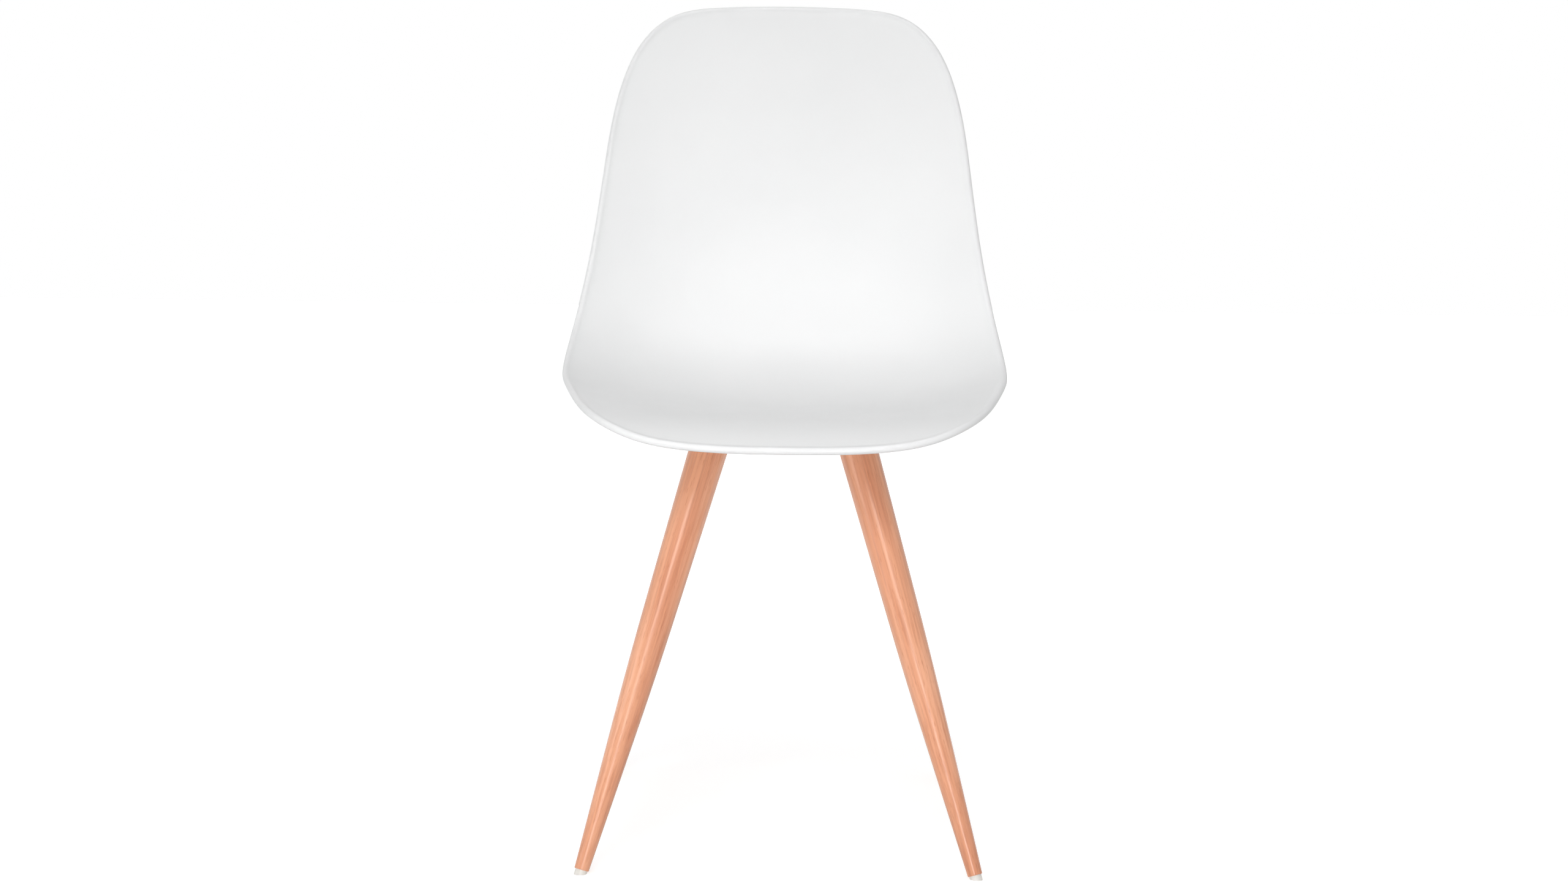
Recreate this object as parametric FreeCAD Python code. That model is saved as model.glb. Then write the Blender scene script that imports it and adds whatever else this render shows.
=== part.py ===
import FreeCAD, Part
import math
import os
from FreeCAD import Placement, Rotation, Vector

os.makedirs("parts", exist_ok=True)

# A chair with a one-piece moulded seat and back on four tapered wooden legs.
# Millimetres. The floor is z = 0, the chair faces -Y, and left and right are
# those of someone who stands in front of it and looks at it.

# Shell: the sections run across it, from below its front edge to above its top.
# Each holds the y and z of its middle, half its width, and how far its side
# edge stands above that middle. All are measured halfway through the wall.
SHELL_SECTIONS = [
    (-272.0, 412.8, 196.0, 10.0),
    (-214.5, 434.8, 203.0, 11.0),
    (-150.0, 440.3, 209.5, 18.0),
    (-50.0, 436.4, 217.5, 37.5),
    (30.0, 436.8, 227.0, 46.5),
    (101.0, 458.5, 227.5, 47.0),
    (157.0, 499.6, 220.5, 47.5),
    (184.0, 559.4, 210.5, 43.0),
    (202.0, 664.6, 198.5, 22.0),
    (228.0, 774.4, 181.0, 9.5),
    (254.7, 862.8, 170.0, 11.0),
    (260.5, 882.0, 168.0, 11.0),
]
SIDE_SECTIONS = SHELL_SECTIONS[3:9]     # those whose half width is the shell's own edge
DISH_POWER = 2.6                        # 2 is a round hollow, more is flatter in the middle
PULL_ANGLE = 40.0                       # slope of the mould's parting plane, up and back
FRONT_EDGE = (-258.0, 419.4)            # y and z of the middle of the front edge
TOP_EDGE = (255.1, 864.0)               # y and z of the middle of the top edge
# Corners of the outline: half width, and distance in from the front or top edge
FRONT_CORNER = [(0.0, 0.0), (85.0, 3.0), (139.0, 16.7), (178.0, 52.0), (201.5, 106.7)]
TOP_CORNER = [(0.0, 0.0), (80.0, 3.0), (130.0, 14.7), (163.0, 44.0), (179.5, 76.5)]
WALL = 4.5
RIM_WIDTH = 7.6                         # the bead all the way round the edge, across its flats
RIM_FLATS = 8
RIM_BENDS = 11                          # stretches of the bead on each side of the chair
# The skins pass through these places: rows from front to top, shares of the half width
SKIN_ROWS = 19
SKIN_SHARES = [-1.05, -0.88, -0.68, -0.46, -0.23, 0.0, 0.23, 0.46, 0.68, 0.88, 1.05]
SKIN_INWARD = 4.0                       # from the first and last section to the skin's ends

# Bosses under the seat, which take the four screws of the frame
BOSS_X = 46.0                           # each side of the middle
BOSS_Y = 56.0                           # in front of the middle and behind it
BOSS_DIAMETER = 20.0
RIB_THICKNESS = 3.0
RIB_REACH = 16.0                        # how far the gussets stand out from a boss
RIB_RISE = 8.0                          # from the frame's top up to a rib's lower edge
BOSS_BLANK = 60.0                       # height before the bosses and ribs are trimmed to the shell
INSERT_DIAMETER = 8.4
INSERT_LENGTH = 12.7
INSERT_FIT = 0.05                       # all round, between the insert and its boss
SCREW_RUN_OUT = 3.0                     # hole past the end of the screw

# Legs: the axis at the floor, and how far it leans in for each mm of height
LEG_FOOT_X = 192.1
LEG_FOOT_Y = 215.0
LEG_LEAN_X = 0.2895
LEG_LEAN_Y = 0.30
LEG_TOP_Z = 412.0                       # where the axis meets the frame
LEG_FOOT_Z = 3.7                        # where the axis leaves the leg
LEG_TOP_DIAMETER = 39.0
LEG_KNEE_DIAMETER = 31.3                # where the leg starts to taper faster
LEG_KNEE_FROM_FOOT = 210.0
LEG_FOOT_DIAMETER = 14.5

# Hanger bolt: one end in the leg's top, the other up through the frame with its nut
STUD_DIAMETER = 8.0
STUD_IN_LEG = 40.0
STUD_IN_LEG_FIT = 0.05                  # all round, between the bolt and the leg
STUD_HOLE_RUN_OUT = 1.0                 # hole past the lower end of the bolt
STUD_HOLE_DIAMETER = 8.8                # in the frame
STUD_PAST_NUT = 2.5
LEG_NUT_WIDTH = 13.0                    # across flats
LEG_NUT_HEIGHT = 6.5
LEG_WASHER_DIAMETER = 18.0
LEG_WASHER_THICKNESS = 1.6
SPRING_WASHER_DIAMETER = 14.0
SPRING_WASHER_THICKNESS = 2.2
SPRING_WASHER_GAP = 1.6                 # the cut through its ring
NUT_BORE_FIT = 0.05                     # all round, between the stud and its nut
WASHER_FIT = 0.2                        # all round, between the stud and its washers

# Glide: a pad on a pin that is pushed into the foot of each leg
GLIDE_DIAMETER = 12.0
GLIDE_PIN_DIAMETER = 4.0
GLIDE_PIN_LENGTH = 14.0
GLIDE_PIN_FIT = 0.05                    # all round, between the pin and the leg
GLIDE_PIN_RUN_OUT = 1.0                 # hole past the end of the pin

# Frame: one piece of pressed sheet with an arm to each leg
FRAME_SHEET = 3.0
FRAME_HALF_X = 62.0
FRAME_HALF_Y = 72.0
FRAME_CORNER = 14.0
ARM_WIDTH = 46.0
ARM_BEND_RADIUS = 6.0                   # inside of the bend
PAD_REACH = 22.0                        # along the pad, from the leg's axis to the bend
ARM_INWARD = 60.0                       # from the bend, in under the plate
FRAME_WINDOW = 44.0                     # round hole in the middle
FRAME_WINDOW_RIM = 5.0                  # height of the collar pressed up round it

# Screws that hold the frame to the shell
SCREW_DIAMETER = 6.0
SCREW_HOLE_DIAMETER = 6.8
SCREW_HEAD_DIAMETER = 12.0
SCREW_HEAD_HEIGHT = 3.3
SCREW_HEAD_CHAMFER = 2.0
SCREW_SOCKET_WIDTH = 4.0                # across flats of the key's hole
SCREW_SOCKET_DEPTH = 2.2
SCREW_WASHER_DIAMETER = 15.0
SCREW_WASHER_THICKNESS = 1.2
SCREW_WASHER_HOLE = 6.4
SCREW_IN_INSERT_FIT = 0.05

BLANK = 1000.0                          # longer than any piece that it cuts

CORNERS = {
    "front_left": (-1, -1),
    "front_right": (1, -1),
    "rear_left": (-1, 1),
    "rear_right": (1, 1),
}

# What follows from these sizes
LEG_LEAN = math.hypot(LEG_LEAN_X, LEG_LEAN_Y)
LEG_TILT = math.degrees(math.atan(LEG_LEAN))
LEG_LENGTH = (LEG_TOP_Z - LEG_FOOT_Z) * math.hypot(1, LEG_LEAN)
BEND_OUTSIDE = ARM_BEND_RADIUS + FRAME_SHEET
BEND_LIFT = BEND_OUTSIDE * (1 - math.cos(math.radians(LEG_TILT)))
PAD_LIFT = PAD_REACH * math.sin(math.radians(LEG_TILT)) + BEND_LIFT
FRAME_BOTTOM_Z = LEG_TOP_Z - PAD_LIFT
FRAME_TOP_Z = FRAME_BOTTOM_Z + FRAME_SHEET
WASHERS_THICKNESS = LEG_WASHER_THICKNESS + SPRING_WASHER_THICKNESS
STUD_LENGTH = FRAME_SHEET + WASHERS_THICKNESS + LEG_NUT_HEIGHT + STUD_PAST_NUT


# Curves and the shell's surface

def to_parting_plane(y, z):
    """Distance along the parting plane, and height above it."""
    a = math.radians(PULL_ANGLE)
    return y * math.cos(a) + z * math.sin(a), z * math.cos(a) - y * math.sin(a)


def from_parting_plane(x, along, height):
    a = math.radians(PULL_ANGLE)
    y = along * math.cos(a) - height * math.sin(a)
    z = along * math.sin(a) + height * math.cos(a)
    return Vector(x, y, z)


def smooth(distances, values):
    """A smooth function through the given values."""
    curve = Part.BSplineCurve()
    points = [Vector(d, v, 0) for d, v in zip(distances, values)]
    curve.interpolate(Points=points, Parameters=distances)
    return lambda distance: curve.value(distance).y


SECTION_ALONG = [to_parting_plane(s[0], s[1])[0] for s in SHELL_SECTIONS]
middle_height = smooth(SECTION_ALONG, [to_parting_plane(s[0], s[1])[1] for s in SHELL_SECTIONS])
half_width = smooth(SECTION_ALONG, [s[2] for s in SHELL_SECTIONS])
side_rise = smooth(SECTION_ALONG, [s[3] for s in SHELL_SECTIONS])


def shell_height(x, along):
    dish = (abs(x) / half_width(along)) ** DISH_POWER
    return middle_height(along) + side_rise(along) * dish


def shell_point(x, along, offset=0.0):
    """A point of the shell, offset square to its wall, up and forward."""
    step = 0.5
    slope_x = (shell_height(x + step, along) - shell_height(x - step, along)) / (2 * step)
    slope_along = (shell_height(x, along + step) - shell_height(x, along - step)) / (2 * step)
    square = Vector(-slope_x, -slope_along, 1).normalize() * offset
    return from_parting_plane(x + square.x, along + square.y, shell_height(x, along) + square.z)


def skin(offset):
    """One face of the shell, a little larger than its outline."""
    first = SECTION_ALONG[0] + SKIN_INWARD
    last = SECTION_ALONG[-1] - SKIN_INWARD
    grid = []
    for i in range(SKIN_ROWS):
        along = first + (last - first) * i / (SKIN_ROWS - 1)
        grid.append([shell_point(share * half_width(along), along, offset) for share in SKIN_SHARES])
    surface = Part.BSplineSurface()
    surface.interpolate(grid)
    return surface


def shell_outline():
    """Half of the outline on the parting plane, as (half width, along) points."""
    front = to_parting_plane(*FRONT_EDGE)[0]
    top = to_parting_plane(*TOP_EDGE)[0]
    points = [(x, front + inward) for x, inward in FRONT_CORNER]
    points += [(s[2], to_parting_plane(s[0], s[1])[0]) for s in SIDE_SECTIONS]
    points += [(x, top - inward) for x, inward in reversed(TOP_CORNER)]
    return points


def outline_curve():
    """The whole outline as one closed curve."""
    half = shell_outline()
    other = [(-x, along) for x, along in reversed(half[1:-1])]
    curve = Part.BSplineCurve()
    curve.interpolate(Points=[Vector(x, along, 0) for x, along in half + other], PeriodicFlag=True)
    return curve


OUTLINE = outline_curve()


def on_rim(share):
    """The point of the shell's edge a share of the way round, from the middle of the front."""
    span = OUTLINE.LastParameter - OUTLINE.FirstParameter
    flat = OUTLINE.value(OUTLINE.FirstParameter + (share % 1.0) * span)
    return shell_point(flat.x, flat.y)


def rim_direction(share):
    step = 1e-4
    return (on_rim(share + step) - on_rim(share - step)).normalize()


def solid_between(top, bottom):
    """A closed block between two skins of the same sections."""
    faces = [top.toShape(), bottom.toShape()]
    for side in range(4):
        edges = []
        for surface in (top, bottom):
            u_first, u_last, v_first, v_last = surface.bounds()
            lines = [surface.uIso(u_first), surface.uIso(u_last)]
            lines += [surface.vIso(v_first), surface.vIso(v_last)]
            edges.append(lines[side].toShape())
        faces.append(Part.makeRuledSurface(edges[0], edges[1]))
    shell = Part.makeShell(faces)
    shell.sewShape()
    solid = Part.makeSolid(shell)
    if solid.Volume < 0:
        solid.reverse()
    return solid


# Shell

def two_arcs(start, start_direction, end, end_direction):
    """Two arcs that join two points smoothly, each as its start, the corner it rounds, and its end."""
    reach = end - start
    both = start_direction + end_direction
    spread = 1 - start_direction.dot(end_direction)
    push = reach.dot(both)
    if spread < 1e-9:
        step = reach.dot(reach) / (2 * push)
    else:
        step = (math.sqrt(push ** 2 + 2 * spread * reach.dot(reach)) - push) / (2 * spread)
    first_corner = start + start_direction * step
    last_corner = end - end_direction * step
    middle = (first_corner + last_corner) * 0.5
    return [(start, first_corner, middle), (middle, last_corner, end)]


def rim_bead():
    """The bead along one half of the edge, from the middle of the front to the middle of the top."""
    shares = [0.5 * i / RIM_BENDS for i in range(RIM_BENDS + 1)]
    stops = [(on_rim(share), rim_direction(share)) for share in shares]
    arcs = []
    for (start, leave), (end, arrive) in zip(stops, stops[1:]):
        arcs += two_arcs(start, leave, end, arrive)
    to_vertex = RIM_WIDTH / 2 / math.cos(math.pi / RIM_FLATS)
    vertices = []
    for i in range(RIM_FLATS + 1):
        turn = 2 * math.pi * (i + 0.5) / RIM_FLATS
        vertices.append(stops[0][0] + Vector(0, math.cos(turn), math.sin(turn)) * to_vertex)
    section = Part.makePolygon(vertices)
    stretches = []
    for start, corner, end in arcs:
        ahead = (corner - start).normalize()
        turn = ahead.getAngle(end - corner)
        axis = ahead.cross(end - start).normalize()
        radius = (corner - start).Length / math.tan(turn / 2)
        centre = start + axis.cross(ahead) * radius
        stretches.append(Part.Face(section).revolve(centre, axis, math.degrees(turn)))
        section = section.copy()
        section.rotate(centre, axis, math.degrees(turn))
    return stretches[0].multiFuse(stretches[1:])


def rib(length, y, angle):
    """A rib that leaves the right-hand boss at y in the direction of the angle."""
    plate = Part.makeBox(length, RIB_THICKNESS, BOSS_BLANK, Vector(0, -RIB_THICKNESS / 2, 0))
    plate.rotate(Vector(0, 0, 0), Vector(0, 0, 1), angle)
    plate.translate(Vector(BOSS_X, y, FRAME_TOP_Z + RIB_RISE))
    return plate


def bosses_and_ribs():
    """The right-hand bosses, their gussets, and the ribs that tie the four bosses together."""
    parts = [rib(2 * BOSS_Y, -BOSS_Y, 90)]
    for y in (-BOSS_Y, BOSS_Y):
        parts.append(Part.makeCylinder(BOSS_DIAMETER / 2, BOSS_BLANK, Vector(BOSS_X, y, FRAME_TOP_Z)))
        parts.append(rib(BOSS_X, y, 180))
        for angle in (-45, 45):
            parts.append(rib(BOSS_DIAMETER / 2 + RIB_REACH, y, angle))
    return parts[0].multiFuse(parts[1:])


def seat_shell():
    up = from_parting_plane(0, 0, 1)
    block = solid_between(skin(WALL / 2), skin(-WALL / 2))
    outline = Part.Wire([OUTLINE.toShape()])
    outline.Placement = Placement(Vector(0, 0, 0), Rotation(Vector(1, 0, 0), PULL_ANGLE))
    wall = block.common(Part.Face(outline).extrude(up * BLANK))
    right_half = Part.makeBox(BLANK, 2 * BLANK, BLANK, Vector(0, -BLANK, 0))
    half = wall.common(right_half).fuse(rim_bead())

    bosses = bosses_and_ribs().cut(skin(0).toShape().extrude(Vector(0, 0, BLANK)))
    half = half.fuse(bosses)
    hole = Part.makeCylinder(INSERT_DIAMETER / 2 + INSERT_FIT, INSERT_LENGTH + SCREW_RUN_OUT)
    for y in (-BOSS_Y, BOSS_Y):
        place = Vector(BOSS_X, y, FRAME_TOP_Z)
        half = half.cut(hole.translated(place))
    return half.fuse(half.mirror(Vector(0, 0, 0), Vector(1, 0, 0)))


# Legs

def on_leg_axis(side, end, z):
    return Vector(side * (LEG_FOOT_X - LEG_LEAN_X * z), end * (LEG_FOOT_Y - LEG_LEAN_Y * z), z)


def leg_placement(side, end):
    """The leg's own frame: its origin at the middle of the foot and its Z along the leg."""
    foot = on_leg_axis(side, end, LEG_FOOT_Z)
    axis = on_leg_axis(side, end, LEG_TOP_Z) - foot
    return Placement(foot, Rotation(Vector(0, 0, 1), axis))


def on_leg(shape, side, end):
    placed = shape.copy()
    placed.Placement = leg_placement(side, end).multiply(shape.Placement)
    return placed


def ring(outer, inner, height, z):
    hole = Part.makeCylinder(inner, height, Vector(0, 0, z))
    return Part.makeCylinder(outer, height, Vector(0, 0, z)).cut(hole)


def turned_leg():
    """The leg, which narrows slowly at first and then faster towards the foot."""
    bolt_hole = STUD_DIAMETER / 2 + STUD_IN_LEG_FIT
    bolt_depth = STUD_IN_LEG + STUD_HOLE_RUN_OUT
    pin_hole = GLIDE_PIN_DIAMETER / 2 + GLIDE_PIN_FIT
    pin_depth = GLIDE_PIN_LENGTH + GLIDE_PIN_RUN_OUT
    profile = Part.makePolygon([
        Vector(pin_hole, 0, 0),
        Vector(LEG_FOOT_DIAMETER / 2, 0, 0),
        Vector(LEG_KNEE_DIAMETER / 2, 0, LEG_KNEE_FROM_FOOT),
        Vector(LEG_TOP_DIAMETER / 2, 0, LEG_LENGTH),
        Vector(bolt_hole, 0, LEG_LENGTH),
        Vector(bolt_hole, 0, LEG_LENGTH - bolt_depth),
        Vector(0, 0, LEG_LENGTH - bolt_depth),
        Vector(0, 0, pin_depth),
        Vector(pin_hole, 0, pin_depth),
        Vector(pin_hole, 0, 0),
    ])
    return Part.Face(profile).revolve(Vector(0, 0, 0), Vector(0, 0, 1), 360)


def hanger_bolt():
    lower_end = Vector(0, 0, LEG_LENGTH - STUD_IN_LEG)
    return Part.makeCylinder(STUD_DIAMETER / 2, STUD_IN_LEG + STUD_LENGTH, lower_end)


def leg_washer():
    z = LEG_LENGTH + FRAME_SHEET
    return ring(LEG_WASHER_DIAMETER / 2, STUD_DIAMETER / 2 + WASHER_FIT, LEG_WASHER_THICKNESS, z)


def spring_washer():
    z = LEG_LENGTH + FRAME_SHEET + LEG_WASHER_THICKNESS
    whole = ring(SPRING_WASHER_DIAMETER / 2, STUD_DIAMETER / 2 + WASHER_FIT, SPRING_WASHER_THICKNESS, z)
    slot = Part.makeBox(SPRING_WASHER_DIAMETER, SPRING_WASHER_GAP, SPRING_WASHER_THICKNESS,
                        Vector(0, -SPRING_WASHER_GAP / 2, z))
    return whole.cut(slot)


def hexagon(across_flats, height, z):
    radius = across_flats / 2 / math.cos(math.pi / 6)
    corners = []
    for i in range(7):
        turn = math.pi * i / 3
        corners.append(Vector(radius * math.cos(turn), radius * math.sin(turn), z))
    return Part.Face(Part.makePolygon(corners)).extrude(Vector(0, 0, height))


def leg_nut():
    z = LEG_LENGTH + FRAME_SHEET + WASHERS_THICKNESS
    bore = Part.makeCylinder(STUD_DIAMETER / 2 + NUT_BORE_FIT, LEG_NUT_HEIGHT, Vector(0, 0, z))
    return hexagon(LEG_NUT_WIDTH, LEG_NUT_HEIGHT, z).cut(bore)


def glide(side, end):
    """A pad between the leg's square-cut foot and the floor, where it is cut level."""
    below = LEG_FOOT_Z + GLIDE_DIAMETER
    pin = Part.makeCylinder(GLIDE_PIN_DIAMETER / 2, GLIDE_PIN_LENGTH)
    pad = Part.makeCylinder(GLIDE_DIAMETER / 2, below, Vector(0, 0, -below))
    whole = on_leg(pin.fuse(pad), side, end)
    under_floor = Part.makeBox(2 * BLANK, 2 * BLANK, BLANK, Vector(-BLANK, -BLANK, -BLANK))
    return whole.cut(under_floor)


# Frame

def bend_line(centre, radius):
    """The bend of an arm, seen from its side, from level to the slope of the pad."""
    points = []
    for share in (0.0, 0.5, 1.0):
        turn = math.radians(LEG_TILT) * share
        points.append(centre + Vector(math.sin(turn), 0, -math.cos(turn)) * radius)
    return points


def frame_arm():
    """One arm along X, with the leg's axis at x = 0: level, then bent up square to the leg."""
    tilt = math.radians(LEG_TILT)
    along_pad = Vector(math.cos(tilt), 0, math.sin(tilt))
    through_pad = Vector(-math.sin(tilt), 0, math.cos(tilt))
    leg_axis = Vector(0, 0, LEG_TOP_Z)
    centre = leg_axis - along_pad * PAD_REACH + through_pad * BEND_OUTSIDE
    inner = centre.x - ARM_INWARD
    tip = leg_axis + along_pad * (ARM_WIDTH / 2)
    under = bend_line(centre, BEND_OUTSIDE)
    over = bend_line(centre, ARM_BEND_RADIUS)
    tip_over = tip + through_pad * FRAME_SHEET
    profile = Part.Wire([
        Part.makeLine(Vector(inner, 0, FRAME_BOTTOM_Z), under[0]),
        Part.Arc(*under).toShape(),
        Part.makeLine(under[2], tip),
        Part.makeLine(tip, tip_over),
        Part.makeLine(tip_over, over[2]),
        Part.Arc(*reversed(over)).toShape(),
        Part.makeLine(over[0], Vector(inner, 0, FRAME_TOP_Z)),
        Part.makeLine(Vector(inner, 0, FRAME_TOP_Z), Vector(inner, 0, FRAME_BOTTOM_Z)),
    ])
    strip = Part.Face(profile).extrude(Vector(0, ARM_WIDTH, 0))
    strip.translate(Vector(0, -ARM_WIDTH / 2, 0))
    keep = Part.makeCylinder(ARM_WIDTH / 2, 2 * BLANK, Vector(0, 0, -BLANK))
    keep = keep.fuse(Part.makeBox(BLANK, ARM_WIDTH, 2 * BLANK, Vector(-BLANK, -ARM_WIDTH / 2, -BLANK)))
    keep.Placement = Placement(leg_axis, Rotation(Vector(0, 0, 1), through_pad))
    hole = Part.makeCylinder(STUD_HOLE_DIAMETER / 2, 2 * BLANK, Vector(0, 0, -BLANK))
    hole.Placement = keep.Placement
    return strip.common(keep).cut(hole)


def under_seat_frame():
    plate = Part.makeBox(2 * FRAME_HALF_X, 2 * FRAME_HALF_Y, FRAME_SHEET,
                         Vector(-FRAME_HALF_X, -FRAME_HALF_Y, FRAME_BOTTOM_Z))
    upright = [edge for edge in plate.Edges if abs(edge.BoundBox.ZLength - FRAME_SHEET) < 1e-6]
    frame = plate.makeFillet(FRAME_CORNER, upright)
    arm = frame_arm()
    for side, end in CORNERS.values():
        outward = math.degrees(math.atan2(end * LEG_LEAN_Y, side * LEG_LEAN_X))
        turned = arm.copy()
        turned.rotate(Vector(0, 0, 0), Vector(0, 0, 1), outward)
        turned.translate(on_leg_axis(side, end, LEG_TOP_Z) - Vector(0, 0, LEG_TOP_Z))
        frame = frame.fuse(turned)
    above, below = Vector(0, 0, FRAME_TOP_Z), Vector(0, 0, FRAME_BOTTOM_Z)
    collar = Part.makeCylinder(FRAME_WINDOW / 2 + FRAME_SHEET, FRAME_WINDOW_RIM, above)
    window = Part.makeCylinder(FRAME_WINDOW / 2, FRAME_SHEET + FRAME_WINDOW_RIM, below)
    frame = frame.fuse(collar).cut(window)
    hole = Part.makeCylinder(SCREW_HOLE_DIAMETER / 2, FRAME_SHEET, below)
    for x, y in screw_places():
        frame = frame.cut(hole.translated(Vector(x, y, 0)))
    return frame.removeSplitter()


# Screws from the frame into the shell

def screw_places():
    return [(side * BOSS_X, end * BOSS_Y) for side, end in CORNERS.values()]


def threaded_insert():
    inner = SCREW_DIAMETER / 2 + SCREW_IN_INSERT_FIT
    return ring(INSERT_DIAMETER / 2, inner, INSERT_LENGTH, FRAME_TOP_Z)


def screw_washer():
    z = FRAME_BOTTOM_Z - SCREW_WASHER_THICKNESS
    return ring(SCREW_WASHER_DIAMETER / 2, SCREW_WASHER_HOLE / 2, SCREW_WASHER_THICKNESS, z)


def frame_screw():
    """A low round head under the frame, with a socket for a key, and a shank up into the insert."""
    seat = FRAME_BOTTOM_Z - SCREW_WASHER_THICKNESS
    under = seat - SCREW_HEAD_HEIGHT
    head = Part.makeCylinder(SCREW_HEAD_DIAMETER / 2, SCREW_HEAD_HEIGHT, Vector(0, 0, under))
    lower_rim = [edge for edge in head.Edges if edge.BoundBox.ZMax < seat - SCREW_HEAD_HEIGHT / 2]
    head = head.makeChamfer(SCREW_HEAD_CHAMFER, lower_rim)
    socket = hexagon(SCREW_SOCKET_WIDTH, SCREW_SOCKET_DEPTH, under)
    reach = SCREW_WASHER_THICKNESS + FRAME_SHEET + INSERT_LENGTH
    shank = Part.makeCylinder(SCREW_DIAMETER / 2, reach, Vector(0, 0, seat))
    return head.cut(socket).fuse(shank).removeSplitter()


def at_screws(shape):
    placed = []
    for x, y in screw_places():
        copy = shape.copy()
        copy.translate(Vector(x, y, 0))
        placed.append(copy)
    return Part.makeCompound(placed)


def on_every_leg(shape):
    return Part.makeCompound([on_leg(shape, side, end) for side, end in CORNERS.values()])


# Every piece, under the name of its file

pieces = {
    "seat_shell": seat_shell(),
    "threaded_inserts": at_screws(threaded_insert()),
    "under_seat_frame": under_seat_frame(),
    "frame_screws": at_screws(frame_screw()),
    "frame_screw_washers": at_screws(screw_washer()),
    "leg_washers": on_every_leg(leg_washer()),
    "leg_spring_washers": on_every_leg(spring_washer()),
    "leg_nuts": on_every_leg(leg_nut()),
}
for corner, (side, end) in CORNERS.items():
    pieces["leg_" + corner] = on_leg(turned_leg(), side, end)
    pieces["hanger_bolt_" + corner] = on_leg(hanger_bolt(), side, end)
    pieces["glide_" + corner] = glide(side, end)

for name, shape in pieces.items():
    shape.exportStep("parts/" + name + ".step")
    state = "valid" if shape.isValid() else "NOT VALID"
    print(name, len(shape.Solids), "solid(s)", round(shape.Volume), "mm3", state)
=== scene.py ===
"""A white moulded shell chair on four tapered legs of lacquered wood, on a pale studio floor."""

import math

import bmesh
import bpy
import numpy as np
from mathutils import Matrix, Vector


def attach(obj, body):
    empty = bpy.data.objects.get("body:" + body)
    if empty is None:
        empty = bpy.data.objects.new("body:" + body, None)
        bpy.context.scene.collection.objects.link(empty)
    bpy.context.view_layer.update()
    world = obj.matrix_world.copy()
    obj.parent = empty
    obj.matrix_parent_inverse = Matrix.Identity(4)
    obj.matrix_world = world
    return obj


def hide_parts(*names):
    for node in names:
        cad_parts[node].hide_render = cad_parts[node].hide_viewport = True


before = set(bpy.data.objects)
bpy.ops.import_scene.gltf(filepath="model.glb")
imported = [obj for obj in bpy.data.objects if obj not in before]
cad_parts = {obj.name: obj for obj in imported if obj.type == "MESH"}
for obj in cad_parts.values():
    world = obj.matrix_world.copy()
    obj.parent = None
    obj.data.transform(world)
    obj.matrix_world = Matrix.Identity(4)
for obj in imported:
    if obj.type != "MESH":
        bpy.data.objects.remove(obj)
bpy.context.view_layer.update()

MM = 0.001

# The shell's sections, from below its front edge to above its top, in mm: y and z
# of the middle, half the width, and how far the side edge stands above the middle
SHELL_SECTIONS = [
    (-272.0, 412.8, 196.0, 10.0),
    (-214.5, 434.8, 203.0, 11.0),
    (-150.0, 440.3, 209.5, 18.0),
    (-50.0, 436.4, 217.5, 37.5),
    (30.0, 436.8, 227.0, 46.5),
    (101.0, 458.5, 227.5, 47.0),
    (157.0, 499.6, 220.5, 47.5),
    (184.0, 559.4, 210.5, 43.0),
    (202.0, 664.6, 198.5, 22.0),
    (228.0, 774.4, 181.0, 9.5),
    (254.7, 862.8, 170.0, 11.0),
    (260.5, 882.0, 168.0, 11.0),
]
SIDE_SECTIONS = SHELL_SECTIONS[3:9]
DISH_POWER = 2.6
PULL_ANGLE = math.radians(40)
FRONT_EDGE = (-258.0, 419.4)
TOP_EDGE = (255.1, 864.0)
FRONT_CORNER = [(0.0, 0.0), (85.0, 3.0), (139.0, 16.7), (178.0, 52.0), (201.5, 106.7)]
TOP_CORNER = [(0.0, 0.0), (80.0, 3.0), (130.0, 14.7), (163.0, 44.0), (179.5, 76.5)]
WALL = 4.5
RIM_RADIUS = 3.8
RIM_FILLET = 9.0            # from the outline in to where the plain wall starts

# Bosses and ribs under the seat, in mm
BOSS_X = 46.0
BOSS_Y = 56.0
BOSS_RADIUS = 10.0
BOSS_HOLE_RADIUS = 4.25
BOSS_HOLE_DEPTH = 15.7
BOSS_BOTTOM = 405.84        # top of the frame's plate
BOSS_EDGE = 0.5             # eased edges of a boss's lower end, outside and at its hole
BOSS_HOLE_EDGE = 0.3
BOSS_STEPS = 48
RIB_THICKNESS = 3.0
RIB_START = 7.0             # from a boss's middle, clear of its hole
RIB_REACH = 26.0            # from a boss's middle to the end of its gusset
RIB_RISE = 8.0              # from the frame's plate up to a rib's lower edge
RIB_EDGE = 0.4
RIB_STEP = 4.0
MOULDED_FILLET = 1.6        # where bosses and ribs run into the wall

# Legs, in mm
FOOT_X = 192.1
FOOT_Y = 215.0
LEAN_X = 0.2895
LEAN_Y = 0.30
TOP_Z = 412.0
FOOT_Z = 3.7
LEG_LENGTH = (TOP_Z - FOOT_Z) * math.sqrt(1 + LEAN_X ** 2 + LEAN_Y ** 2)
FOOT_RADIUS = 7.25
KNEE_RADIUS = 15.65         # where the leg starts to taper faster
KNEE_FROM_FOOT = 210.0
KNEE_BLEND = 60.0           # half the length over which the taper changes
TOP_RADIUS = 19.5
LEG_EDGE = 0.5              # the eased edge of each end
BOLT_HOLE = (4.05, 41.0)    # radius and depth
PIN_HOLE = (2.05, 15.0)
CORNERS = {
    "front_left": (-1, -1),
    "front_right": (1, -1),
    "rear_left": (-1, 1),
    "rear_right": (1, 1),
}

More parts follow.
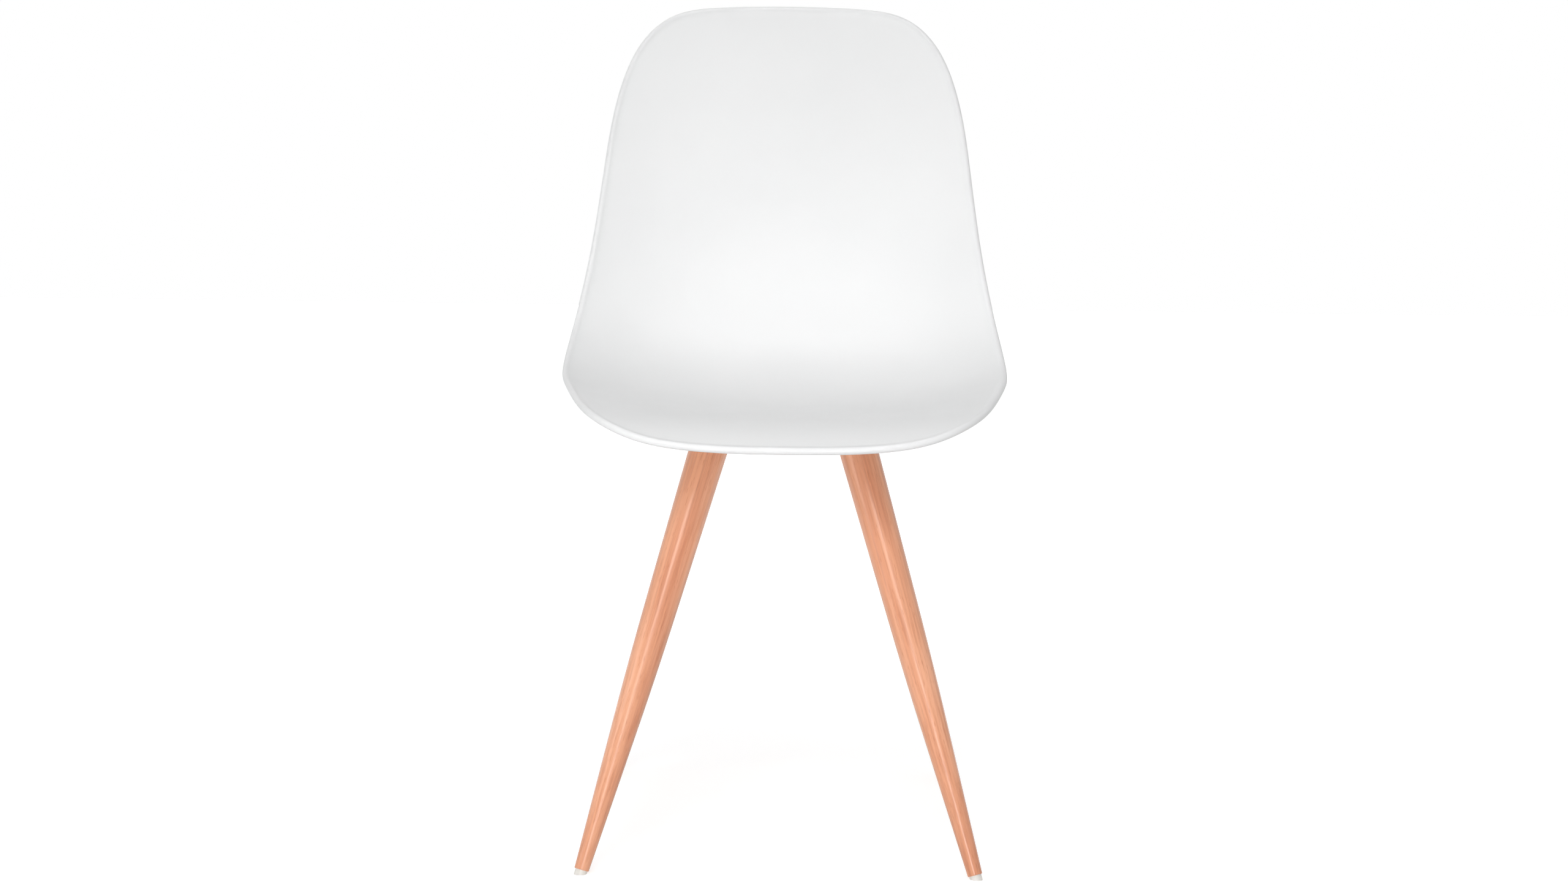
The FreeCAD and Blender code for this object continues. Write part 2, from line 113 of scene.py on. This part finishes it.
# The photograph's frame
IMAGE_WIDTH = 2560
FOCAL_PIXELS = 4161.0
SENSOR = 36.0
CAMERA_PLACE = (0.0, -2.635, 0.66125)
CAMERA_DOWN = 5.5875
CAMERA_RIGHT = -0.4246
CAMERA_ROLL = 0.697
FRAME_SHIFT = -31.09        # pixels the picture's middle stands right of the lens's

WORLD_STRENGTH = 0.39


# Smooth curves

def smooth(places, values, first_slope=None, last_slope=None):
    """A cubic through the values, with its slope free at an end unless it is given."""
    p = np.array(places, float)
    v = np.array(values, float)
    n = len(p)
    step = np.diff(p)
    rise = np.diff(v) / step
    rows = np.zeros((n, n))
    right = np.zeros(n)
    for i in range(1, n - 1):
        rows[i, i - 1:i + 2] = step[i], 2 * (step[i - 1] + step[i]), step[i - 1]
        right[i] = 3 * (step[i] * rise[i - 1] + step[i - 1] * rise[i])
    rows[0, 0:2] = (2, 1) if first_slope is None else (1, 0)
    right[0] = 3 * rise[0] if first_slope is None else first_slope
    rows[-1, -2:] = (1, 2) if last_slope is None else (0, 1)
    right[-1] = 3 * rise[-1] if last_slope is None else last_slope
    slope = np.linalg.solve(rows, right)

    def curve(place):
        i = min(max(int(np.searchsorted(p, place)) - 1, 0), n - 2)
        t = (place - p[i]) / step[i]
        start = (1 + 2 * t) * (1 - t) ** 2 * v[i] + t * (1 - t) ** 2 * step[i] * slope[i]
        end = t * t * (3 - 2 * t) * v[i + 1] + t * t * (t - 1) * step[i] * slope[i + 1]
        return float(start + end)

    return curve


# The shell's surface

def to_parting_plane(y, z):
    along = y * math.cos(PULL_ANGLE) + z * math.sin(PULL_ANGLE)
    return along, z * math.cos(PULL_ANGLE) - y * math.sin(PULL_ANGLE)


def from_parting_plane(x, along, height):
    y = along * math.cos(PULL_ANGLE) - height * math.sin(PULL_ANGLE)
    z = along * math.sin(PULL_ANGLE) + height * math.cos(PULL_ANGLE)
    return Vector((x, y, z))


section_along = [to_parting_plane(s[0], s[1])[0] for s in SHELL_SECTIONS]
middle_height = smooth(section_along, [to_parting_plane(s[0], s[1])[1] for s in SHELL_SECTIONS])
half_width = smooth(section_along, [s[2] for s in SHELL_SECTIONS])
side_rise = smooth(section_along, [s[3] for s in SHELL_SECTIONS])


def shell_height(x, along):
    dish = (abs(x) / half_width(along)) ** DISH_POWER
    return middle_height(along) + side_rise(along) * dish


def shell_slopes(x, along):
    step = 0.5
    across = (shell_height(x + step, along) - shell_height(x - step, along)) / (2 * step)
    lengthways = (shell_height(x, along + step) - shell_height(x, along - step)) / (2 * step)
    return across, lengthways


def shell_point(x, along, offset=0.0):
    """A point of the shell in mm, offset square to its wall, up and forward."""
    across, lengthways = shell_slopes(x, along)
    square = Vector((-across, -lengthways, 1)).normalized() * offset
    return from_parting_plane(x + square.x, along + square.y, shell_height(x, along) + square.z)


def outline():
    """Half of the shell's outline, drawn flat on the parting plane, as a curve from 0 to 1."""
    front = to_parting_plane(*FRONT_EDGE)[0]
    top = to_parting_plane(*TOP_EDGE)[0]
    points = [(x, front + inward) for x, inward in FRONT_CORNER]
    points += [(s[2], to_parting_plane(s[0], s[1])[0]) for s in SIDE_SECTIONS]
    points += [(x, top - inward) for x, inward in reversed(TOP_CORNER)]
    reach = [0.0]
    for a, b in zip(points, points[1:]):
        reach.append(reach[-1] + math.dist(a, b))
    length = reach[-1]
    reach = [r / length for r in reach]
    across = smooth(reach, [p[0] for p in points], length, -length)
    along = smooth(reach, [p[1] for p in points], 0.0, 0.0)
    return across, along


outline_across, outline_along = outline()


def outline_point(share):
    """The flat outline all the way round: 0 is the middle of the front, 1 of the top."""
    side = 1 if share >= 0 else -1
    return Vector((side * outline_across(abs(share)), outline_along(abs(share))))


def outline_inward(share):
    """The direction into the shell, square to the flat outline."""
    step = 1e-3
    ahead = outline_point(min(share + step, 1)) - outline_point(max(share - step, -1))
    if abs(share) < step or abs(share) > 1 - step:
        ahead = Vector((1, 0)) if abs(share) < 0.5 else Vector((-1, 0))
    return Vector((-ahead.y, ahead.x)).normalized()


def outline_inset(share, inset):
    """A flat point a real distance in from the outline, measured on the sloping wall."""
    edge = outline_point(share)
    inward = outline_inward(share)
    across, lengthways = shell_slopes(edge.x, edge.y)
    slope = across * inward.x + lengthways * inward.y
    return edge + inward * (inset / math.sqrt(1 + slope * slope))


# Meshes

def finish_mesh(name, bm, material, smooth_angle=None):
    """A mesh object at the origin, in metres, from a bmesh in millimetres."""
    bmesh.ops.scale(bm, vec=(MM, MM, MM), verts=bm.verts)
    for face in bm.faces:
        face.smooth = True
    mesh = bpy.data.meshes.new(name)
    bm.to_mesh(mesh)
    bm.free()
    piece = bpy.data.objects.new(name, mesh)
    bpy.context.collection.objects.link(piece)
    mesh.materials.append(material)
    if smooth_angle is not None:
        mesh.set_sharp_from_angle(angle=math.radians(smooth_angle))
    return piece


# The seat's sheet is a square grid with its corners at these places round the outline
SHARE_CORNER_FRONT = 0.235
SHARE_CORNER_TOP = 0.825
CELLS_ACROSS = 44
CELLS_ALONG = 64


def spread(count, first, last):
    return [first + (last - first) * i / count for i in range(count + 1)]


def from_top(share):
    """A place round the outline, from its distance to the middle of the top."""
    return (1 if share >= 0 else -1) * (1 - abs(share))


def inside_rim(share):
    return outline_inset(share, RIM_FILLET)


FRONT_SHARES = spread(CELLS_ACROSS, -SHARE_CORNER_FRONT, SHARE_CORNER_FRONT)
SIDE_SHARES = spread(CELLS_ALONG, SHARE_CORNER_FRONT, SHARE_CORNER_TOP)
TOP_SHARES = [from_top(s) for s in spread(CELLS_ACROSS, SHARE_CORNER_TOP - 1, 1 - SHARE_CORNER_TOP)]
EDGE_SHARES = FRONT_SHARES + SIDE_SHARES + [-s for s in SIDE_SHARES] + TOP_SHARES
EDGE_POINTS = [(inside_rim(share), share) for share in EDGE_SHARES]


def nearest_share(place):
    """Where on the outline a point of the sheet's own edge belongs."""
    gaps = [(p.x - place.x) ** 2 + (p.y - place.y) ** 2 for p, _ in EDGE_POINTS]
    return EDGE_POINTS[gaps.index(min(gaps))][1]


def flat_sheet():
    """The shell inside its rim, drawn flat: a square grid fitted to the outline's four sides."""
    bm = bmesh.new()
    bmesh.ops.create_grid(bm, x_segments=CELLS_ACROSS, y_segments=CELLS_ALONG, size=1.0)
    front = [inside_rim(s) for s in FRONT_SHARES]
    top = [inside_rim(s) for s in TOP_SHARES]
    right = [inside_rim(s) for s in SIDE_SHARES]
    left = [Vector((-p.x, p.y)) for p in right]
    for vertex in bm.verts:
        u = (vertex.co.x + 1) / 2
        v = (vertex.co.y + 1) / 2
        i = round(u * CELLS_ACROSS)
        j = round(v * CELLS_ALONG)
        sides = left[j] * (1 - u) + right[j] * u
        ends = front[i] * (1 - v) + top[i] * v
        corners = (left[0] * (1 - u) + right[0] * u) * (1 - v) + (left[-1] * (1 - u) + right[-1] * u) * v
        flat = sides + ends - corners
        vertex.co = (flat.x, flat.y, WALL / 2)
    return bm


def rim_profile():
    """The rim's section from the wall out to its edge, as (inset from the outline, half thickness)."""
    profile = [(6.6, 2.27), (4.9, 2.4)]
    for angle in (132, 112, 90, 67, 45, 22):
        turn = math.radians(angle)
        profile.append((-RIM_RADIUS * math.cos(turn), RIM_RADIUS * math.sin(turn)))
    profile.append((-RIM_RADIUS, 0.0))
    return profile


def seat_shell(material):
    bm = flat_sheet()
    edge = [e for e in bm.edges if e.is_boundary]
    rim_share = {}
    for vertex in set(v for e in edge for v in e.verts):
        rim_share[vertex] = nearest_share(vertex.co)
    for inset, half in rim_profile():
        ring = bmesh.ops.extrude_edge_only(bm, edges=edge)["geom"]
        new = [g for g in ring if isinstance(g, bmesh.types.BMVert)]
        moved = {}
        for vertex in new:
            old = next(e.other_vert(vertex) for e in vertex.link_edges if e.other_vert(vertex) in rim_share)
            moved[vertex] = rim_share[old]
        for vertex, share in moved.items():
            flat = outline_inset(share, inset)
            vertex.co = (flat.x, flat.y, half)
        rim_share = moved
        edge = [e for e in bm.edges if e.is_boundary]
    upper = bm.faces[:]
    lower = bmesh.ops.duplicate(bm, geom=bm.verts[:] + bm.edges[:] + upper)["geom"]
    lower_faces = [g for g in lower if isinstance(g, bmesh.types.BMFace)]
    for vertex in set(v for f in lower_faces for v in f.verts):
        vertex.co.z = -vertex.co.z
    bmesh.ops.reverse_faces(bm, faces=lower_faces)
    bmesh.ops.remove_doubles(bm, verts=bm.verts, dist=1e-4)
    for vertex in bm.verts:
        vertex.co = shell_point(vertex.co.x, vertex.co.y, vertex.co.z)
    bmesh.ops.recalc_face_normals(bm, faces=bm.faces)
    piece = finish_mesh("moulded_shell", bm, material)
    finer = piece.modifiers.new("finer", "SUBSURF")
    finer.levels = 1
    finer.render_levels = 1
    return piece


# Bosses and ribs

def wall_z(x, y):
    """How high the middle of the seat's wall stands over a place."""
    low, high = section_along[0], section_along[-1]
    for _ in range(40):
        along = (low + high) / 2
        if from_parting_plane(x, along, shell_height(x, along)).y < y:
            low = along
        else:
            high = along
    return from_parting_plane(x, along, shell_height(x, along)).z


def moulded_fillet(shares):
    """The fillet into the wall: how far out, and how far under the wall. It ends in the wall."""
    fillet = []
    for share in shares:
        turn = share * math.pi / 2
        fillet.append((MOULDED_FILLET * (1 - math.cos(turn)), MOULDED_FILLET * (1 - math.sin(turn))))
    return fillet + [(MOULDED_FILLET, -WALL / 2)]


def moulded_vertex(bm, x, y, rise, under):
    """A vertex at a height over the frame's plate or, where that is None, under the wall."""
    z = wall_z(x, y) - WALL / 2 - under if rise is None else BOSS_BOTTOM + rise
    return bm.verts.new((x, y, z))


def join_loops(bm, loops):
    """Faces from each loop of vertices to the next, and one across each end."""
    for near, far in zip(loops, loops[1:]):
        for i in range(len(near)):
            j = (i + 1) % len(near)
            bm.faces.new((near[i], near[j], far[j], far[i]))
    bm.faces.new(loops[0])
    bm.faces.new(loops[-1])


def boss(bm, x, y):
    """A screw boss, open below, that runs into the wall with a small fillet."""
    rings = [(BOSS_HOLE_RADIUS, BOSS_HOLE_DEPTH, None), (BOSS_HOLE_RADIUS, BOSS_HOLE_EDGE, None)]
    rings += [(BOSS_HOLE_RADIUS + BOSS_HOLE_EDGE, 0.0, None), (BOSS_RADIUS - BOSS_EDGE, 0.0, None)]
    rings.append((BOSS_RADIUS, BOSS_EDGE, None))
    rings += [(BOSS_RADIUS + out, None, under) for out, under in moulded_fillet((0.0, 0.3, 0.6, 0.85, 1.0))]
    loops = []
    for radius, rise, under in rings:
        loop = []
        for i in range(BOSS_STEPS):
            turn = 2 * math.pi * i / BOSS_STEPS
            px, py = x + radius * math.cos(turn), y + radius * math.sin(turn)
            loop.append(moulded_vertex(bm, px, py, rise, under))
        loops.append(loop)
    join_loops(bm, loops)


def rib(bm, start, end):
    """A rib between two places, with its top in the wall and a fillet along each side."""
    start, end = Vector(start), Vector(end)
    ahead = (end - start).normalized()
    square = Vector((-ahead.y, ahead.x))
    half = RIB_THICKNESS / 2
    section = [(half - RIB_EDGE, RIB_RISE, None), (half, RIB_RISE + RIB_EDGE, None)]
    section += [(half + out, None, under) for out, under in moulded_fillet((0.0, 0.35, 0.7, 1.0))]
    section = [(-across, rise, under) for across, rise, under in reversed(section)] + section
    steps = max(2, round((end - start).length / RIB_STEP))
    loops = []
    for i in range(steps + 1):
        loop = []
        for across, rise, under in section:
            spot = start.lerp(end, i / steps) + square * across
            loop.append(moulded_vertex(bm, spot.x, spot.y, rise, under))
        loops.append(loop)
    join_loops(bm, loops)


def bosses_and_ribs(material):
    bm = bmesh.new()
    for side in (-1, 1):
        x = side * BOSS_X
        rib(bm, (x, RIB_START - BOSS_Y), (x, BOSS_Y - RIB_START))
        for end in (-1, 1):
            middle = Vector((x, end * BOSS_Y))
            boss(bm, middle.x, middle.y)
            for turn in (math.radians(-45), math.radians(45)):
                outward = Vector((side * math.cos(turn), math.sin(turn)))
                rib(bm, middle + outward * RIB_START, middle + outward * RIB_REACH)
    for end in (-1, 1):
        y = end * BOSS_Y
        rib(bm, (RIB_START - BOSS_X, y), (BOSS_X - RIB_START, y))
    bmesh.ops.recalc_face_normals(bm, faces=bm.faces)
    return finish_mesh("bosses_and_ribs", bm, material, 35)


# Legs

def leg_radius(z):
    """Two straight tapers with a soft change between them."""
    lower = (KNEE_RADIUS - FOOT_RADIUS) / KNEE_FROM_FOOT
    upper = (TOP_RADIUS - KNEE_RADIUS) / (LEG_LENGTH - KNEE_FROM_FOOT)
    from_knee = z - KNEE_FROM_FOOT
    if abs(from_knee) < KNEE_BLEND:
        soft = (upper - lower) * (from_knee + KNEE_BLEND) ** 2 / (4 * KNEE_BLEND)
        return FOOT_RADIUS + lower * z + soft
    return KNEE_RADIUS + from_knee * (upper if from_knee > 0 else lower)


def leg_matrix(side, end):
    foot = Vector((side * (FOOT_X - LEAN_X * FOOT_Z), end * (FOOT_Y - LEAN_Y * FOOT_Z), FOOT_Z))
    axis = Vector((-side * LEAN_X, -end * LEAN_Y, 1))
    return Matrix.Translation(foot) @ axis.to_track_quat("Z", "Y").to_matrix().to_4x4()


def leg(corner, material):
    """A turned leg with its ends square to its axis, a bolt's hole in its top and a pin's in its foot."""
    side, end = CORNERS[corner]
    bm = bmesh.new()
    rings = 32
    pin_radius, pin_depth = PIN_HOLE
    bolt_radius, bolt_depth = BOLT_HOLE
    profile = [(0.0, pin_depth), (pin_radius, pin_depth), (pin_radius, 0.0)]
    profile.append((FOOT_RADIUS - LEG_EDGE, 0.0))
    for i in range(rings + 1):
        z = LEG_EDGE + (LEG_LENGTH - 2 * LEG_EDGE) * i / rings
        profile.append((leg_radius(z), z))
    profile.append((TOP_RADIUS - LEG_EDGE, LEG_LENGTH))
    bolt_end = LEG_LENGTH - bolt_depth
    profile += [(bolt_radius, LEG_LENGTH), (bolt_radius, bolt_end), (0.0, bolt_end)]
    chain = [bm.verts.new((radius, 0, z)) for radius, z in profile]
    edges = [bm.edges.new(pair) for pair in zip(chain, chain[1:])]
    turn = 2 * math.pi
    bmesh.ops.spin(bm, geom=chain + edges, axis=(0, 0, 1), cent=(0, 0, 0), angle=turn, steps=64)
    bmesh.ops.remove_doubles(bm, verts=bm.verts, dist=1e-3)
    bmesh.ops.recalc_face_normals(bm, faces=bm.faces)
    grain = bm.verts.layers.float_vector.new("grain")
    place = 1.7 * list(CORNERS).index(corner)
    for vertex in bm.verts:
        vertex[grain] = (vertex.co.x * MM, vertex.co.y * MM, vertex.co.z * MM + place)
    bmesh.ops.transform(bm, matrix=leg_matrix(side, end), verts=bm.verts)
    return finish_mesh("turned_leg_" + corner, bm, material, 40)


# Materials

class Maker:
    """A node material built step by step."""

    def __init__(self, name):
        self.material = bpy.data.materials.new(name)
        self.material.use_nodes = True
        self.nodes = self.material.node_tree.nodes
        self.links = self.material.node_tree.links
        self.shader = self.nodes["Principled BSDF"]

    def add(self, kind, **values):
        node = self.nodes.new(kind)
        for name, value in values.items():
            if name in node.inputs:
                node.inputs[name].default_value = value
            else:
                setattr(node, name, value)
        return node

    def link(self, source, target):
        self.links.new(source, target)


def object_place(maker):
    return maker.add("ShaderNodeTexCoord").outputs["Object"]


def noise(maker, place, scale, detail=2.0, stretch=None):
    if stretch:
        mapping = maker.add("ShaderNodeMapping")
        mapping.inputs["Scale"].default_value = stretch
        maker.link(place, mapping.inputs["Vector"])
        place = mapping.outputs["Vector"]
    texture = maker.add("ShaderNodeTexNoise")
    texture.inputs["Scale"].default_value = scale
    texture.inputs["Detail"].default_value = detail
    maker.link(place, texture.inputs["Vector"])
    return texture.outputs["Fac"]


def ramp(maker, fac, stops):
    node = maker.add("ShaderNodeValToRGB")
    while len(node.color_ramp.elements) < len(stops):
        node.color_ramp.elements.new(0.5)
    for element, (place, colour) in zip(node.color_ramp.elements, stops):
        element.position = place
        element.color = colour
    maker.link(fac, node.inputs["Fac"])
    return node.outputs["Color"]


def grey(value):
    return (value, value, value, 1)


def multiply(maker, first, second):
    mix = maker.add("ShaderNodeMix")
    mix.data_type = "RGBA"
    mix.blend_type = "MULTIPLY"
    mix.inputs["Factor"].default_value = 1.0
    maker.link(first, mix.inputs["A"])
    maker.link(second, mix.inputs["B"])
    return mix.outputs["Result"]


def bump(maker, height, distance, strength=1.0):
    node = maker.add("ShaderNodeBump")
    node.inputs["Strength"].default_value = strength
    node.inputs["Distance"].default_value = distance
    maker.link(height, node.inputs["Height"])
    maker.link(node.outputs["Normal"], maker.shader.inputs["Normal"])


def satin_white_plastic():
    """Moulded polypropylene: a fine even grain, a little uneven in its gloss."""
    maker = Maker("satin_white_plastic")
    place = object_place(maker)
    shaded, plain = (0.855, 0.86, 0.862, 1), (0.875, 0.878, 0.88, 1)
    tint = ramp(maker, noise(maker, place, 9.0), [(0.3, shaded), (0.7, plain)])
    maker.link(tint, maker.shader.inputs["Base Color"])
    gloss = ramp(maker, noise(maker, place, 40.0), [(0.3, grey(0.40)), (0.7, grey(0.47))])
    maker.link(gloss, maker.shader.inputs["Roughness"])
    bump(maker, noise(maker, place, 1800.0), 0.00004, 0.5)
    maker.shader.inputs["Specular IOR Level"].default_value = 0.4
    return maker.material


def lacquered_beech():
    """Warm pink-brown stained beech under a satin lacquer, with its grain along the leg."""
    maker = Maker("lacquered_beech")
    source = maker.add("ShaderNodeAttribute")
    source.attribute_name = "grain"
    place = source.outputs["Vector"]
    broad = noise(maker, place, 1.0, 3.0, (60.0, 60.0, 3.0))
    fine = noise(maker, place, 1.0, 4.0, (500.0, 500.0, 12.0))
    flecks = noise(maker, place, 1.0, 1.0, (900.0, 900.0, 70.0))
    dark, middle, light = (0.74, 0.315, 0.175, 1), (0.86, 0.405, 0.235, 1), (0.93, 0.47, 0.29, 1)
    base = ramp(maker, broad, [(0.32, dark), (0.50, middle), (0.68, light)])
    base = multiply(maker, base, ramp(maker, fine, [(0.36, (0.84, 0.76, 0.71, 1)), (0.52, (1, 1, 1, 1))]))
    base = multiply(maker, base, ramp(maker, flecks, [(0.26, (0.84, 0.76, 0.70, 1)), (0.34, (1, 1, 1, 1))]))
    maker.link(base, maker.shader.inputs["Base Color"])
    gloss = ramp(maker, fine, [(0.3, grey(0.29)), (0.7, grey(0.24))])
    maker.link(gloss, maker.shader.inputs["Roughness"])
    maker.shader.inputs["Specular IOR Level"].default_value = 0.5
    bump(maker, fine, 0.00003, 0.25)
    return maker.material


def powder_coat():
    maker = Maker("white_powder_coat")
    place = object_place(maker)
    tint = ramp(maker, noise(maker, place, 30.0), [(0.3, grey(0.80)), (0.7, grey(0.84))])
    maker.link(tint, maker.shader.inputs["Base Color"])
    gloss = ramp(maker, noise(maker, place, 60.0), [(0.3, grey(0.42)), (0.7, grey(0.5))])
    maker.link(gloss, maker.shader.inputs["Roughness"])
    bump(maker, noise(maker, place, 900.0), 0.00006, 0.5)
    return maker.material


def bright_metal(name, colour, dull, roughness):
    """A plated or turned metal with faint cloudiness and fine handling marks."""
    maker = Maker(name)
    place = object_place(maker)
    tint = ramp(maker, noise(maker, place, 120.0, 4.0), [(0.3, dull), (0.7, colour)])
    maker.link(tint, maker.shader.inputs["Base Color"])
    smoother, rougher = grey(roughness), grey(roughness + 0.12)
    gloss = ramp(maker, noise(maker, place, 260.0, 3.0), [(0.3, smoother), (0.7, rougher)])
    maker.link(gloss, maker.shader.inputs["Roughness"])
    bump(maker, noise(maker, place, 1500.0), 0.00002, 0.3)
    maker.shader.inputs["Metallic"].default_value = 1.0
    return maker.material


def pale_nylon():
    maker = Maker("pale_nylon")
    place = object_place(maker)
    shaded, plain = (0.82, 0.79, 0.74, 1), (0.86, 0.84, 0.80, 1)
    tint = ramp(maker, noise(maker, place, 90.0), [(0.3, shaded), (0.7, plain)])
    maker.link(tint, maker.shader.inputs["Base Color"])
    gloss = ramp(maker, noise(maker, place, 200.0), [(0.3, grey(0.42)), (0.7, grey(0.55))])
    maker.link(gloss, maker.shader.inputs["Roughness"])
    bump(maker, noise(maker, place, 1200.0), 0.00004, 0.4)
    return maker.material


# Studio

# How white the floor looks by itself: up to 0.45 m from its middle, and from 1.6 m away
FLOOR_GLOW = {"From Min": 0.45, "From Max": 1.6, "To Min": 0.58, "To Max": 1.0}
FLOOR_HALF = 12000.0


def seen_directly(nodes, links):
    """1 for what the camera sees itself, in a reflection or through glass, otherwise 0."""
    path = nodes.new("ShaderNodeLightPath")
    seen = path.outputs["Is Camera Ray"]
    for ray in ("Is Glossy Ray", "Is Transmission Ray"):
        either = nodes.new("ShaderNodeMath")
        either.operation = "MAXIMUM"
        links.new(seen, either.inputs[0])
        links.new(path.outputs[ray], either.inputs[1])
        seen = either.outputs[0]
    return seen


def studio_floor():
    bm = bmesh.new()
    bmesh.ops.create_grid(bm, x_segments=1, y_segments=1, size=FLOOR_HALF)
    maker = Maker("pale_floor")
    tint = ramp(maker, noise(maker, object_place(maker), 3.0), [(0.3, grey(0.80)), (0.7, grey(0.82))])
    maker.link(tint, maker.shader.inputs["Base Color"])
    maker.shader.inputs["Roughness"].default_value = 0.7
    maker.shader.inputs["Specular IOR Level"].default_value = 0.2
    distance = maker.add("ShaderNodeVectorMath", operation="LENGTH")
    maker.link(object_place(maker), distance.inputs[0])
    fade = maker.add("ShaderNodeMapRange", interpolation_type="SMOOTHSTEP")
    for name, value in FLOOR_GLOW.items():
        fade.inputs[name].default_value = value
    maker.link(distance.outputs["Value"], fade.inputs["Value"])
    lift = maker.add("ShaderNodeMath", operation="MULTIPLY")
    maker.link(fade.outputs["Result"], lift.inputs[1])
    maker.link(seen_directly(maker.nodes, maker.links), lift.inputs[0])
    maker.shader.inputs["Emission Color"].default_value = (1, 1, 1, 1)
    maker.link(lift.outputs[0], maker.shader.inputs["Emission Strength"])
    floor = finish_mesh("studio_floor", bm, maker.material)


def studio_world():
    world = bpy.data.worlds.new("studio")
    bpy.context.scene.world = world
    world.use_nodes = True
    nodes = world.node_tree.nodes
    links = world.node_tree.links
    background = nodes["Background"]
    background.inputs["Color"].default_value = (1, 1, 1, 1)
    strength = nodes.new("ShaderNodeMapRange")
    strength.inputs["To Min"].default_value = WORLD_STRENGTH
    strength.inputs["To Max"].default_value = 1.0
    links.new(seen_directly(nodes, links), strength.inputs["Value"])
    links.new(strength.outputs["Result"], background.inputs["Strength"])


def softbox(name, place, aim, size, power, spread=180):
    lamp = bpy.data.lights.new(name, "AREA")
    lamp.shape = "RECTANGLE"
    lamp.size, lamp.size_y = size
    lamp.energy = power
    lamp.spread = math.radians(spread)
    lamp_object = bpy.data.objects.new(name, lamp)
    lamp_object.location = place
    lamp_object.rotation_euler = (Vector(aim) - Vector(place)).to_track_quat("-Z", "Y").to_euler()
    bpy.context.collection.objects.link(lamp_object)


def studio_camera():
    camera = bpy.data.cameras.new("camera")
    camera.sensor_width = SENSOR
    camera.lens = SENSOR * FOCAL_PIXELS / IMAGE_WIDTH
    camera.shift_x = -FRAME_SHIFT / IMAGE_WIDTH
    camera.clip_end = 50.0
    holder = bpy.data.objects.new("camera", camera)
    turn = Matrix.Rotation(math.radians(-CAMERA_RIGHT), 4, "Z")
    turn = turn @ Matrix.Rotation(math.radians(90 - CAMERA_DOWN), 4, "X")
    turn = turn @ Matrix.Rotation(math.radians(CAMERA_ROLL), 4, "Z")
    holder.matrix_world = Matrix.Translation(CAMERA_PLACE) @ turn
    bpy.context.collection.objects.link(holder)
    bpy.context.scene.camera = holder


# Chair

def dress(node, material):
    """Gives a carried-over node its finish."""
    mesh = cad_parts[node].data
    mesh.materials.clear()
    mesh.materials.append(material)


plastic = satin_white_plastic()
for piece in (seat_shell(plastic), bosses_and_ribs(plastic)):
    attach(piece, "root")
    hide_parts("seat_shell")

wood = lacquered_beech()
for corner in CORNERS:
    turned = leg(corner, wood)
    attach(turned, "root")
    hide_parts("leg_" + corner)

zinc = bright_metal("zinc_plate", (0.66, 0.67, 0.68, 1), (0.55, 0.56, 0.58, 1), 0.28)
nylon = pale_nylon()
dress("under_seat_frame", powder_coat())
dress("threaded_inserts", bright_metal("turned_brass", (0.80, 0.62, 0.33, 1), (0.70, 0.53, 0.27, 1), 0.25))
for node in ("frame_screws", "frame_screw_washers", "leg_washers", "leg_spring_washers", "leg_nuts"):
    dress(node, zinc)
for corner in CORNERS:
    dress("hanger_bolt_" + corner, zinc)
    dress("glide_" + corner, nylon)

studio_floor()
studio_world()
softbox("high_softbox", (-0.45, -3.0, 2.1), (0, 0, 0.3), (0.9, 1.1), 3.8, 80)
softbox("front_softbox", (-0.45, -3.1, 1.05), (0, 0, 0.3), (0.5, 1.1), 1.5, 80)
softbox("low_softbox", (-0.2, -3.1, 0.3), (0, 0, 0.3), (0.9, 0.5), 0.95, 30)
softbox("overhead_softbox", (0, -0.5, 2.6), (0, 0, 0.4), (1.2, 1.2), 9.5)
softbox("left_softbox", (-2.8, -1.5, 0.9), (0, 0, 0.4), (0.5, 1.6), 9.5)
softbox("right_softbox", (2.8, -1.5, 0.9), (0, 0, 0.4), (0.5, 1.6), 2.0)
studio_camera()
bpy.context.scene.view_settings.view_transform = "Standard"
